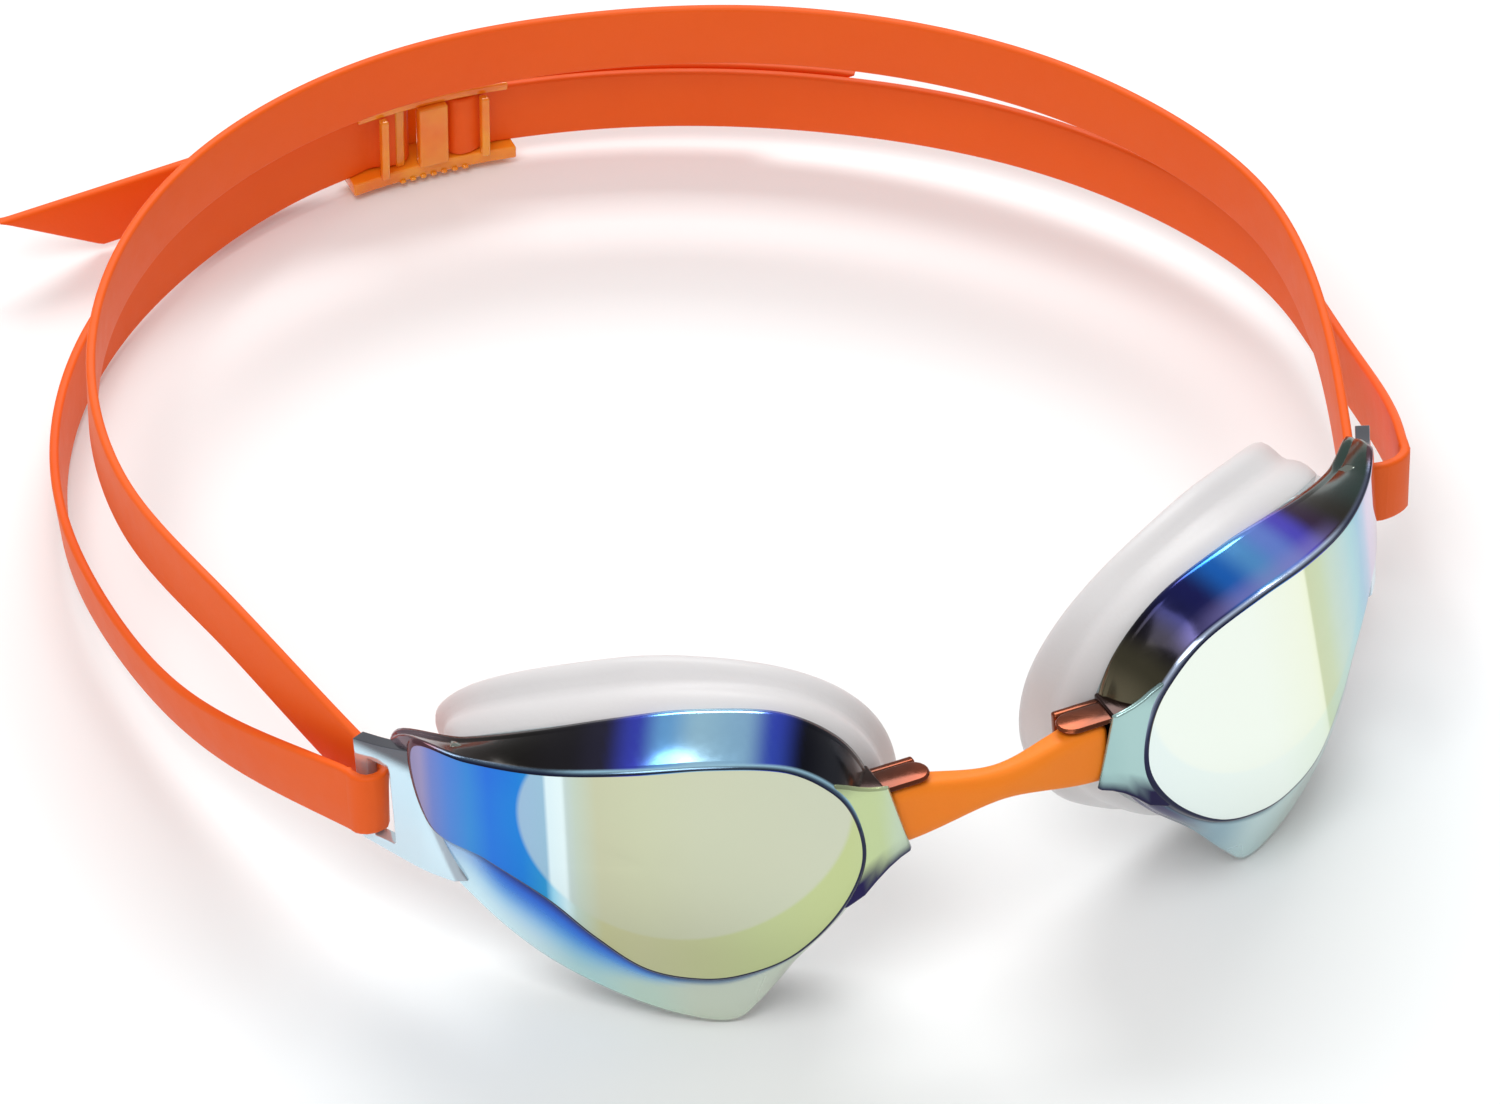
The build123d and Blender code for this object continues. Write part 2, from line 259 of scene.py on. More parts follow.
def bump_from_noise(tree, shader, make, scale, strength, distance):
    """A fine moulded grain on a surface."""
    height = noise_factor(make, scale, 3.0)
    bump = make("ShaderNodeBump", {"Height": height, "Strength": strength, "Distance": distance})
    tree.links.new(bump.outputs["Normal"], shader.inputs["Normal"])


def soft_material(name, base, darker, roughness, subsurface, radius, grain, coat=0.0):
    """Moulded silicone or rubber: a slightly uneven colour, a fine grain and a soft inner glow."""
    material, tree, shader, make = node_material(name)
    mix = make("ShaderNodeMix", {"Factor": noise_factor(make, 45.0, 4.0)}, data_type="RGBA")
    mix.inputs["A"].default_value = base
    mix.inputs["B"].default_value = darker
    tree.links.new(mix.outputs["Result"], shader.inputs["Base Color"])
    rough_from_noise(tree, shader, make, 300.0, 2.0, roughness - 0.06, roughness + 0.08)
    bump_from_noise(tree, shader, make, grain, 0.12, 0.0002)
    shader.inputs["Specular IOR Level"].default_value = 0.25
    shader.inputs["Subsurface Weight"].default_value = subsurface
    shader.inputs["Subsurface Radius"].default_value = radius
    shader.inputs["Subsurface Scale"].default_value = 0.002
    shader.inputs["Coat Weight"].default_value = coat
    shader.inputs["Coat Roughness"].default_value = 0.35
    return material


def add_coating_detail(tree, shader, make, tint, roughness):
    """A slight play of hue in a coating, and its fine unevenness."""
    haze = noise_factor(make, 60.0, 2.0)
    shift = make("ShaderNodeMapRange", {"Value": haze, "To Min": 0.49, "To Max": 0.51})
    hue = make("ShaderNodeHueSaturation", {"Color": tint, "Hue": shift.outputs["Result"]})
    tree.links.new(hue.outputs["Color"], shader.inputs["Base Color"])
    rough_from_noise(tree, shader, make, 900.0, 1.0, roughness * 0.7, roughness * 1.3)


def coated_material(name, metallic, roughness, coat):
    """A mirror coating whose colours, painted reflections and shade among them, are painted on the mesh.
    """
    material, tree, shader, make = node_material(name)
    paint = make("ShaderNodeVertexColor", layer_name="paint")
    add_coating_detail(tree, shader, make, paint.outputs["Color"], roughness)
    shader.inputs["Metallic"].default_value = metallic
    shader.inputs["IOR"].default_value = 1.5
    shader.inputs["Coat Weight"].default_value = coat
    shader.inputs["Coat Roughness"].default_value = 0.03
    return material


def colour_ramp(make, value, stops, low, high):
    """A ramp of (place, colour) stops over a value that runs from low to high."""
    share = make("ShaderNodeMapRange", {"Value": value, "From Min": low, "From Max": high})
    ramp = make("ShaderNodeValToRGB", {"Fac": share.outputs["Result"]})
    elements = ramp.color_ramp.elements
    for place, tint in stops[1:-1]:
        elements.new((place - low) / (high - low)).color = tint
    elements[0].color = stops[0][1]
    elements[-1].color = stops[-1][1]
    return ramp.outputs["Color"]


# The lens's paint layer "place" holds (along the chord, height) in millimetres, as shares of this span
PLACE_SPAN = 100.0
RAMP_LOW = -36.0
RAMP_HIGH = 36.0

# The face's coating from its nose end to its temple end, seen through the eye's opening and round it.
# Here and in the wall's and the skirt's colours, many stops are averages of small areas of the
# photograph that a sampling script printed, as they were or edited by hand.
FACE_INSIDE = {
    "right": colour_stops(
        (-36, 200, 205, 184), (-8, 202, 205, 178), (0, 201, 204, 172), (6, 198, 199, 167),
        (9, 193, 206, 190), (10.3, 192, 208, 204), (10.8, 226, 243, 244), (13.0, 218, 238, 243),
        (13.4, 150, 188, 211), (17.5, 152, 183, 212), (36, 152, 183, 212),
    ),
    "left": colour_stops(
        (-36, 240, 246, 238), (-10, 239, 245, 234), (0, 237, 242, 220), (1.5, 236, 241, 212),
        (2.0, 197, 206, 163), (5, 194, 208, 168), (8, 188, 209, 190), (12, 170, 203, 201),
        (15, 142, 196, 203), (18, 112, 176, 200), (20.5, 124, 166, 200), (23, 178, 164, 200),
        (27, 196, 168, 206), (36, 160, 140, 196),
    ),
}
FACE_ROUND = {
    "right": colour_stops(
        (-36, 194, 209, 161), (-27, 190, 202, 144), (-15, 194, 203, 150), (0, 198, 198, 156),
        (6, 196, 195, 150), (9.5, 188, 208, 196), (10.9, 205, 234, 240), (12.8, 150, 212, 236),
        (13.8, 34, 148, 204), (17, 6, 124, 212), (21.5, 24, 113, 215), (24.5, 48, 134, 210),
        (27.5, 76, 130, 210), (30, 108, 128, 198), (31.6, 150, 142, 184), (36, 120, 110, 150),
    ),
    "left": colour_stops(
        (-36, 228, 240, 238), (-10, 236, 244, 236), (0, 228, 240, 222), (1.5, 226, 238, 214),
        (2.0, 194, 210, 172), (8, 180, 208, 194), (12, 160, 202, 204), (15, 132, 192, 204),
        (18, 106, 172, 202), (20.5, 124, 166, 204), (23, 180, 166, 206), (36, 170, 150, 206),
    ),
}

# How far the bands lean with height, and the oval in which the eye's opening shows through
FACE_SLANT = {"right": 0.03, "left": 0.15}
EYE_MIDDLE = (-5.4, 4.5)
EYE_REACH = (22.6, 18.1)


def face_material(side_name):
    """The face's coating: bands across it, which change where the eye's opening shows through."""
    material, tree, shader, make = node_material(f"mirror_face_{side_name}")
    layer = make("ShaderNodeVertexColor", layer_name="place")
    place = make("ShaderNodeSeparateColor", {"Color": layer.outputs["Color"]})

    def math(operation, first, second):
        return make("ShaderNodeMath", {0: first, 1: second}, operation=operation).outputs[0]

    def millimetres(channel):
        return math("MULTIPLY", math("SUBTRACT", place.outputs[channel], 0.5), PLACE_SPAN)

    across, height = millimetres(0), millimetres(1)
    band = math("ADD", across, math("MULTIPLY", height, FACE_SLANT[side_name]))
    inside = colour_ramp(make, band, FACE_INSIDE[side_name], RAMP_LOW, RAMP_HIGH)
    around = colour_ramp(make, band, FACE_ROUND[side_name], RAMP_LOW, RAMP_HIGH)
    reach = []
    for value, middle, half in zip((across, height), EYE_MIDDLE, EYE_REACH):
        share = math("DIVIDE", math("SUBTRACT", value, middle), half)
        reach.append(math("MULTIPLY", share, share))
    distance = math("ADD", *reach)
    mask = make("ShaderNodeMapRange", {"Value": distance, "From Min": 0.97, "From Max": 1.03})
    mix = make("ShaderNodeMix", {"Factor": mask.outputs["Result"]}, data_type="RGBA")
    tree.links.new(inside, mix.inputs["A"])
    tree.links.new(around, mix.inputs["B"])
    add_coating_detail(tree, shader, make, mix.outputs["Result"], 0.04)
    shader.inputs["Metallic"].default_value = 0.92
    shader.inputs["Coat Weight"].default_value = 0.3
    shader.inputs["Coat Roughness"].default_value = 0.03
    return material


STRAP_ORANGE = soft_material(
    "strap_silicone", colour(243, 98, 14), colour(236, 89, 11), 0.5, 0.03, (1.0, 0.4, 0.1), 2600.0
)
BRIDGE_ORANGE = soft_material(
    "bridge_rubber", colour(250, 138, 30), colour(245, 127, 24), 0.5, 0.12, (1.0, 0.5, 0.15), 2200.0
)
GASKET_WHITE = soft_material(
    "gasket_silicone", colour(219, 217, 217), colour(213, 210, 211), 0.42, 0.3, (1.0, 0.95, 0.9), 1800.0,
    coat=0.15,
)
FACE_COATING = {side_name: face_material(side_name) for side_name in SIDES}
MIRROR_WALL = coated_material("mirror_wall", 0.75, 0.16, 0.0)
SKIRT_COATING = coated_material("skirt_coating", 0.7, 0.08, 0.2)


def buckle_material():
    """Amber plastic with a slight inner glow and a glossy moulded skin."""
    material, tree, shader, make = node_material("buckle_plastic")
    ramp = make("ShaderNodeValToRGB", {"Fac": noise_factor(make, 120.0, 3.0)})
    ramp.color_ramp.elements[0].position = 0.35
    ramp.color_ramp.elements[0].color = colour(240, 122, 16)
    ramp.color_ramp.elements[1].position = 0.7
    ramp.color_ramp.elements[1].color = colour(250, 160, 40)
    tree.links.new(ramp.outputs["Color"], shader.inputs["Base Color"])
    bump_from_noise(tree, shader, make, 900.0, 0.1, 0.0001)
    shader.inputs["Roughness"].default_value = 0.16
    shader.inputs["Subsurface Weight"].default_value = 0.25
    shader.inputs["Subsurface Radius"].default_value = (1.0, 0.5, 0.2)
    shader.inputs["Subsurface Scale"].default_value = 0.003
    shader.inputs["IOR"].default_value = 1.45
    shader.inputs["Coat Weight"].default_value = 0.5
    shader.inputs["Coat Roughness"].default_value = 0.08
    return material


BUCKLE_AMBER = buckle_material()


def paint_ramp(stops, value):
    """The colour at a value on a smooth ramp of (value, colour) stops."""
    for (low, first), (high, second) in zip(stops, stops[1:]):
        if value <= high:
            t = smooth_step(low, high, value)
            return [a + (b - a) * t for a, b in zip(first, second)]
    return list(stops[-1][1])


# ---------------------------------------------------------------- lenses

LENS_POINTS = 192

# Outlines of a lens, from its temple's top corner over the top to the nose and back underneath, as
# (along the chord, height). The face, the edge that stands out round it, the cup's back and the lip.
FACE = [
    (32.4, 10.4), (24.0, 11.5), (13.0, 12.4), (1.0, 13.7), (-10.0, 14.3), (-19.6, 12.5), (-25.6, 7.4),
    (-28.3, 1.4), (-28.6, -5.6), (-25.2, -12.4), (-19.0, -17.9), (-12.0, -20.1), (-6.0, -20.2),
    (1.0, -18.4), (7.6, -13.6), (14.0, -8.3), (22.6, -4.1), (30.6, -1.6),
]
FLANGE = [
    (36.4, 7.6), (25.6, 10.4), (14.4, 14.0), (4.0, 17.0), (-6.4, 18.6), (-17.6, 17.0), (-25.3, 11.2),
    (-29.2, 3.4), (-30.0, -5.4), (-26.6, -13.2), (-19.4, -20.8), (-13.4, -28.0), (-9.6, -31.0),
    (-3.0, -29.8), (6.4, -26.0), (16.6, -20.8), (25.2, -14.2), (29.4, -8.8),
]
FLANGE_DEPTH = [2.6, 5.6, 7.0, 7.4, 7.4, 7.4, 7.2, 6.6, 5.0, 4.2, 4.2, 4.6, 4.8, 4.6, 4.2, 3.8, 3.2, 2.6]
CUP = [
    (27.6, 5.4), (23.4, 9.0), (13.4, 13.0), (2.0, 15.8), (-8.4, 16.4), (-18.0, 14.2), (-24.4, 9.0),
    (-27.9, 2.0), (-28.4, -5.6), (-25.0, -13.0), (-19.0, -18.9), (-12.6, -21.8), (-6.4, -22.0),
    (0.4, -20.8), (8.0, -17.6), (15.6, -12.8), (22.0, -6.6), (26.4, -0.4),
]
LIP = [
    (31.4, 3.4), (26.0, 9.8), (16.0, 15.4), (3.0, 19.2), (-7.4, 19.2), (-17.0, 16.4), (-24.4, 11.0),
    (-29.0, 3.4), (-30.0, -6.0), (-26.6, -15.2), (-20.6, -20.4), (-13.8, -23.4), (-7.0, -23.8),
    (0.6, -22.6), (9.2, -19.2), (17.6, -14.2), (24.8, -8.4), (29.8, -2.2),
]
CUP_DEPTH = 8.4
MIDDLE = np.array((-1.0, -1.5))
FACE_WALL = 1.8
INNER_END = 27.0
FACE_SHARES = (0.02, 0.12, 0.24, 0.36, 0.48, 0.58, 0.68, 0.77, 0.85, 0.91, 0.955, 0.985)
WALL_SHARES = (0.04, 0.1, 0.18, 0.28, 0.4, 0.52, 0.64, 0.76, 0.88, 0.96, 1.0)
INNER_SHARES = (0.96, 0.8, 0.6, 0.4, 0.2, 0.02)
WALL_SWELL = 0.35

# The rounded rim of the face, as (outwards, depth, share of the rim), and the rounded edge of the
# wall, as (outwards, depth behind the edge)
RIM = ((0.2, 0.05, 0.0), (0.42, 0.16, 0.5), (0.62, 0.5, 0.8), (0.68, 1.0, 1.0))
EDGE = ((0.16, 0.35), (0.0, 1.3), (-0.5, 1.7))


def moved_outwards(outline, amount):
    """An outline with each point moved away from the lens's middle by an amount, or by one for each."""
    amounts = np.broadcast_to(amount, len(outline))
    away = outline - MIDDLE
    return outline + away / np.linalg.norm(away, axis=1)[:, None] * amounts[:, None]


def lens_rings():
    """The lens's closed outlines from the middle of its face over its edge to the middle inside.

    Each is an outline, its depth behind the face, the part it belongs to, and its share of that part.
    """
    face = closed_curve(FACE, LENS_POINTS)
    flange = closed_curve([(u, z, d) for (u, z), d in zip(FLANGE, FLANGE_DEPTH)], LENS_POINTS)
    cup = closed_curve(CUP, LENS_POINTS)
    edge, edge_depth = flange[:, :2], flange[:, 2]
    rings = []

    def ring(outline, depth, part, share=1.0):
        rings.append((outline, np.broadcast_to(depth, LENS_POINTS), part, share))

    for share in FACE_SHARES:
        ring(MIDDLE + (face - MIDDLE) * share, 0.0, "face", share)
    ring(face, 0.02, "face")
    for out, depth, share in RIM:
        ring(moved_outwards(face, out), depth, "rim", share)
    start, start_depth = moved_outwards(face, out), depth
    for share in WALL_SHARES:
        outline = moved_outwards(start + (edge - start) * share, sin(pi * share) * WALL_SWELL)
        ring(outline, start_depth + (edge_depth - start_depth) * share, "wall", share)
    for out, further in EDGE:
        ring(moved_outwards(edge, out), edge_depth + further, "edge")
    join = moved_outwards(cup, 0.9)
    ring(join, np.maximum(edge_depth + 1.8, 6.0), "back")
    ring(join, CUP_DEPTH + 1.4, "back")
    ring(cup, CUP_DEPTH + 1.6, "back")
    ring(moved_outwards(cup, -0.8), CUP_DEPTH + 1.4, "inside")
    inner = moved_outwards(face, -1.0)
    inner[:, 0] = np.minimum(inner[:, 0], INNER_END)
    ring(inner, 4.0, "inside")
    ring(inner, FACE_WALL + 0.3, "inside")
    for share in INNER_SHARES:
        ring(MIDDLE + (inner - MIDDLE) * share, FACE_WALL, "inside")
    return rings


def ring_mesh(builder, rings, side, close_ends=True):
    """Faces between one ring of points and the next, with a cap on the first and the last."""
    rows = [[builder.verts.new(placed(p, side)) for p in ring] for ring in rings]
    join_rows(builder, rows)
    if close_ends:
        builder.faces.new(rows[0])
        builder.faces.new(rows[-1])


# Colours of the coating along the lens, from its nose end to its temple end: on the top wall, its tint
# with painted reflections of the surroundings, dark and bright; on the skirt, its pale tint with
# painted shade at the nose end of the left lens. "left" is the wearer's left lens; each lens has its
# own, because its coating lies at its own angle.
WALL_TINT_AND_REFLECTION_ALONG = {
    "right": colour_stops(
        (-29, 104, 92, 88), (-26, 40, 42, 50), (-22, 12, 14, 28), (-18, 60, 86, 205),
        (-14, 156, 205, 240), (-8, 172, 218, 244), (-3.5, 120, 185, 245), (0.5, 64, 74, 200),
        (5, 44, 42, 62), (10, 34, 32, 38), (18, 24, 21, 18), (26, 46, 38, 36), (33, 110, 92, 100),
        (38, 124, 90, 110),
    ),
    "left": colour_stops(
        (-29, 120, 112, 90), (-26, 70, 66, 50), (-23, 18, 14, 26), (-16, 28, 30, 96),
        (-11, 30, 110, 210), (-6, 96, 170, 236), (-1, 120, 152, 244), (4, 96, 84, 220),
        (8.5, 56, 30, 66), (14, 44, 40, 32), (22, 44, 64, 60), (33, 52, 74, 66), (38, 90, 96, 90),
    ),
}
SKIRT_TINT_AND_SHADE_ALONG = {
    "right": colour_stops(
        (-30, 176, 196, 176), (-24, 190, 204, 172), (-14, 208, 218, 202), (-6, 208, 217, 200),
        (2, 196, 220, 206), (10, 182, 220, 220), (18, 205, 232, 238), (26, 205, 236, 246),
        (31, 190, 215, 240),
    ),
    # Painted shade: the dark stops at the nose end, on the lens's lower nose side
    "left": colour_stops(
        (-30, 52, 48, 84), (-25, 62, 60, 106), (-18, 150, 186, 200), (-10, 206, 230, 230),
        (0, 216, 238, 230), (12, 200, 232, 226), (20, 170, 214, 224), (31, 158, 170, 222),
    ),
}
SHALLOW = {"right": colour(34, 160, 236), "left": colour(120, 196, 214)}
GROOVE = {"right": colour(0, 82, 212), "left": colour(44, 132, 184)}
# A painted highlight along the face's top rim
RIM_HIGHLIGHT = {"right": colour(176, 222, 246), "left": colour(206, 222, 250)}
DARK_LINE = colour(18, 24, 60)
TEMPLE_LINE = colour(96, 62, 72)
# A lighter lavender band of painted reflection on the wall
LAVENDER_REFLECTION = colour(170, 160, 236)


def blended(first, second, share):
    return [a + (b - a) * share for a, b in zip(first, second)]


def lens_colour(side_name, part, u, z, share):
    """The coating's colour at a point of the lens, beside its face, with painted reflections, highlight
    and shade.
    """
    top = smooth_step(-3.0, 4.0, z)
    # The wall's colour: the coating's tint with painted reflections of the surroundings, dark and bright
    wall = paint_ramp(WALL_TINT_AND_REFLECTION_ALONG[side_name], u)
    if part in ("face", "rim"):
        # Painted highlight: a bright line along the face's top rim, fading towards the temple end
        highlight = smooth_step(0.4, 0.8, share) * (1 - 0.85 * smooth_step(6.0, 14.0, u))
        upper = blended(DARK_LINE, RIM_HIGHLIGHT[side_name], highlight)
        upper = blended(upper, wall, smooth_step(0.82, 1.0, share))
        return blended(blended(DARK_LINE, upper, top), TEMPLE_LINE, smooth_step(27.0, 30.0, u))
    if part in ("wall", "edge"):
        # On the left lens, a lighter lavender band of painted reflection near the face's edge, in the
        # middle stretch of the wall
        if side_name == "left":
            middle = smooth_step(-24.0, -12.0, u) * (1 - smooth_step(4.0, 14.0, u))
            wall = blended(wall, LAVENDER_REFLECTION, 0.55 * middle * (1 - smooth_step(0.0, 0.45, share)))
        # The skirt's pale tint, with painted shade at the nose end of the left lens
        skirt = paint_ramp(SKIRT_TINT_AND_SHADE_ALONG[side_name], u)
        length = 0.2 + 0.75 * smooth_step(-6.0, 12.0, u)
        strength = (0.6 + 0.4 * smooth_step(-14.0, 4.0, u)) * (1 - 0.75 * smooth_step(20.0, 27.0, u))
        shallow = strength * (1 - smooth_step(0.1 * length, length, share))
        groove = strength * (1 - smooth_step(0.0, 0.6 * length, share))
        skirt = blended(blended(skirt, SHALLOW[side_name], shallow), GROOVE[side_name], groove)
        skirt = blended(skirt, DARK_LINE, 0.85 * (1 - smooth_step(0.04, 0.16, share)))
        return blended(skirt, wall, top)
    if part == "back":
        return list(colour(190, 208, 212))
    return list(colour(120, 128, 120))


def paint_layer(mesh, name, colours):
    layer = mesh.color_attributes.new(name, "FLOAT_COLOR", "POINT")
    flat = np.array([(*c[:3], 1.0) for c in colours], np.float32).reshape(-1)
    layer.data.foreach_set("color", flat)


def build_lens(side_name):
    """The shell of a lens: its face, wall, skirt and cup, with the coating's colours and its painted
    reflections, highlight and shade.
    """
    rings = lens_rings()
    builder = bmesh.new()
    points = []
    for outline, depth, _, _ in rings:
        points.append([lens_point(u, z, d) for (u, z), d in zip(outline, depth)])
    ring_mesh(builder, points, SIDES[side_name])
    shell = new_object(f"{side_name}_lens_shell", builder)
    painted = []
    places = []
    for outline, _, part, share in rings:
        painted += [lens_colour(side_name, part, u, z, share) for u, z in outline]
        places += [(u / PLACE_SPAN + 0.5, z / PLACE_SPAN + 0.5, 0.0) for u, z in outline]
    paint_layer(shell.data, "paint", painted)
    paint_layer(shell.data, "place", places)
    for material in (FACE_COATING[side_name], MIRROR_WALL, SKIRT_COATING):
        shell.data.materials.append(material)
    heights = [z for outline, _, _, _ in rings for _, z in outline]
    parts = [part for _, _, part, _ in rings]
    for polygon in shell.data.polygons:
        part = parts[max(polygon.vertices) // LENS_POINTS]
        high = max(heights[v] for v in polygon.vertices)
        if part == "face":
            polygon.material_index = 0
        elif part in ("rim", "wall", "edge") and high > 0.5:
            polygon.material_index = 1
        else:
            polygon.material_index = 2
    return shell


# Wing: the plate from the face's temple end back to the bar, with the strap's slot in it. Places
# along it are measured on the face's cylinder, from the middle of the chord.
WING_START = 27.0
WING_ROOT = 29.0
WING_ROOT_Z = -9.0
WING_ROOT_SLOPE = 0.42
WING_ROOT_END = 32.0
WING_RECESS = 0.45
WING_TIP = 46.2
SLOT_START = 39.8
SLOT_END = 43.8
SLOT_LOW = -8.4
SLOT_HIGH = 4.4
WING_THICKNESS = 2.1
WING_LOW = (-11.0, -10.8, -10.6, -10.2, -9.8)
WING_HIGH = (10.6, 10.0, 8.8, 7.6, 6.8)


def wing_point(s, z, inwards):
    """A point at s along the wing, which leaves the face's cylinder along its tangent."""
    end = FACE_RADIUS * asin(HALF_CHORD / FACE_RADIUS)
    around = min(s, end) / FACE_RADIUS
    straight = max(s - end, 0.0)
    radius = FACE_RADIUS - WING_RECESS - inwards
    u = radius * sin(around) + straight * cos(around)
    forward = radius * cos(around) - straight * sin(around) - SET_BACK
    return chord_point(u, forward, z)


def wing_root(z):
    """How far along the wing its root lies at a height: it slants, and stays under the face."""
    return min(WING_ROOT + WING_ROOT_SLOPE * (z - WING_ROOT_Z), WING_ROOT_END)


def close_plate(builder, grid, columns, rows, is_hole=None):
    """Faces on both skins of a plate of grid[skin, column, row], and walls along its open edges."""
    for i in range(columns - 1):
        for j in range(rows - 1):
            if is_hole and is_hole(i, j):
                continue
            for level in (0, 1):
                corners = ((i, j), (i + 1, j), (i + 1, j + 1), (i, j + 1))
                builder.faces.new([grid[(level, *corner)] for corner in corners])
    names = {vertex: key for key, vertex in grid.items()}
    for edge in [e for e in builder.edges if e.is_boundary]:
        (level, i0, j0), (_, i1, j1) = (names[v] for v in edge.verts)
        if level == 0:
            builder.faces.new((grid[0, i0, j0], grid[0, i1, j1], grid[1, i1, j1], grid[1, i0, j0]))


def wing_mesh(builder):
    """Two skins of the plate, which sink and thin towards the root, with the slot left open."""
    columns = [WING_ROOT, 30.2, 33.6, 36.2, SLOT_START - 0.7, SLOT_START, SLOT_START + 1.3,
               SLOT_END - 1.3, SLOT_END, 45.2, WING_TIP]
    rows = [0.0, 0.05, 0.12, 0.5, 0.87, 0.95, 1.0]
    grid = {}
    for level, inwards in enumerate((0.0, WING_THICKNESS)):
        for i, s in enumerate(columns):
            along = (s - WING_START) / (WING_TIP - WING_START)
            low, high = between(WING_LOW, along), between(WING_HIGH, along)
            for j, t in enumerate(rows):
                z = low + (high - low) * t
                if SLOT_START - 0.8 <= s <= SLOT_END + 0.1:
                    z = (low, (low + SLOT_LOW) / 2, SLOT_LOW, (SLOT_LOW + SLOT_HIGH) / 2, SLOT_HIGH,
                         (high + SLOT_HIGH) / 2, high)[j]
                at_root = wing_root(z) + 1.2 * (i > 0)
                along_root = s + max(2 - i, 0) / 2 * (at_root - s)
                sunk, thinness = ((1.6, 0.3), (0.5, 0.75), (0.0, 1.0))[min(i, 2)]
                point = wing_point(along_root, z, sunk + inwards * thinness)
                grid[level, i, j] = builder.verts.new(point)

    def in_slot(i, j):
        return SLOT_START <= columns[i] < SLOT_END and 2 <= j < 4

    close_plate(builder, grid, len(columns), len(rows), in_slot)


FLARE_THICKNESS = 0.95
FLARE_ROWS = 8


def flare_mesh(builder):
    """The flare at the nose end: a plate flush with the face that covers the bridge's end."""
    columns = [(-24.0, 8.6, -12.6), (-26.0, 8.2, -12.4), (-28.0, 7.4, -11.2), (-29.6, 6.8, -9.2),
               (-31.2, 6.3, -7.6), (-32.6, 5.9, -6.6), (-33.9, 5.6, -6.0)]
    grid = {}
    for level, thickness in enumerate((0.0, FLARE_THICKNESS)):
        for i, (u, high, low) in enumerate(columns):
            depth = 0.42 - 0.4 * smooth_step(-28.4, -30.5, u)
            for j in range(FLARE_ROWS + 1):
                z = low + (high - low) * j / FLARE_ROWS
                slant = 0.2 * (z + 1.0) * i / (len(columns) - 1)
                point = lens_point(u + slant, z, depth + thickness)
                grid[level, i, j] = builder.verts.new(point)
    close_plate(builder, grid, len(columns), FLARE_ROWS + 1)


def socket_mesh(builder):
    """The socket behind the flare: a roof with a rounded end, a back wall and a solid root."""

    def slab(outline, low, high):
        """An outline in x and y between two heights."""
        rows = [[builder.verts.new((x, y, z)) for x, y in outline] for z in (low, high)]
        join_rows(builder, rows)
        builder.faces.new(rows[0])
        builder.faces.new(rows[1])

    middle, reach = 0.5, 2.4
    tongue = [(12.0 - reach * sin(pi * k / 10), middle - reach * cos(pi * k / 10)) for k in range(11)]
    slab([(23.0, middle - reach), *tongue, (23.0, middle + reach)], 3.75, 4.5)
    slab([(10.4, 3.0), (21.0, 3.0), (21.0, 4.4), (10.4, 4.4)], -5.5, 4.2)
    slab([(17.0, -2.0), (25.0, -2.0), (25.0, 4.4), (17.0, 4.4)], -5.6, 5.0)


def painted_piece(name, side_name, mesh_maker, bevel, colour_at, material, smooth_levels=0):
    """A piece of the lens that is shaped upright, painted by place, and put in its own side."""
    side = SIDES[side_name]
    builder = bmesh.new()
    mesh_maker(builder)
    piece = new_object(f"{side_name}_{name}", builder)
    add_modifier(piece, "BEVEL", width=bevel, segments=3, limit_method="ANGLE")
    if smooth_levels:
        add_modifier(piece, "SUBSURF", levels=smooth_levels, render_levels=smooth_levels)
    apply_modifiers(piece)
    paint_layer(piece.data, "paint", [colour_at(v.co) for v in piece.data.vertices])
    for vertex in piece.data.vertices:
        vertex.co = placed(vertex.co, side)
    if side < 0:
        piece.data.flip_normals()
    piece.data.materials.append(material)
    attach(piece, "front")


def wing_colour(point):
    """Pale blue, with a dark upper edge and a brown line beside the face."""
    tint = blended(colour(184, 208, 236), colour(208, 238, 252), smooth_step(69.0, 71.5, point.x))
    tint = blended(tint, colour(216, 240, 252), 1 - smooth_step(-7.0, 2.0, point.z))
    along = (point.x - CHORD_MIDDLE[0]) * cos(CHORD_TURN) + (point.y - CHORD_MIDDLE[1]) * sin(CHORD_TURN)
    root = FACE_RADIUS * sin(wing_root(point.z) / FACE_RADIUS)
    tint = blended(tint, TEMPLE_LINE, 0.5 * (1 - smooth_step(0.3, 1.0, along - root)))
    return blended(tint, colour(64, 50, 58), 0.9 * smooth_step(4.8, 7.0, point.z))


def flare_colour(side_name):
    main = {"right": colour(192, 208, 156), "left": colour(172, 205, 202)}[side_name]
    tip = {"right": colour(196, 213, 188), "left": colour(164, 198, 196)}[side_name]
    # Painted shade: a dark navy towards the flare's underside, on the lens's lower nose side
    low = {"right": colour(34, 26, 78), "left": colour(30, 26, 66)}[side_name]

    def colour_at(point):
        tint = blended(tip, main, smooth_step(15.5, 19.0, point.x))
        tint = blended(tint, low, 1 - smooth_step(-6.6, -4.4, point.z + 0.35 * (point.x - 16.0)))
        return blended(tint, DARK_LINE, 0.5 * smooth_step(6.0, 8.0, point.z))

    return colour_at


def socket_colour(point):
    dark = blended(colour(30, 24, 44), colour(48, 30, 26), smooth_step(2.0, 4.0, point.z))
    return blended(dark, colour(150, 72, 34), 0.7 * (1 - smooth_step(10.0, 15.0, point.x)))


def build_fittings(side_name):
    """What is moulded on to a lens: its wing, its flare and its socket for the bridge."""
    painted_piece("wing", side_name, wing_mesh, 0.5, wing_colour, SKIRT_COATING, 2)
    painted_piece("nose_flare", side_name, flare_mesh, 0.3, flare_colour(side_name), MIRROR_WALL)
    painted_piece("nose_socket", side_name, socket_mesh, 0.45, socket_colour, MIRROR_WALL)


# ---------------------------------------------------------------- gaskets


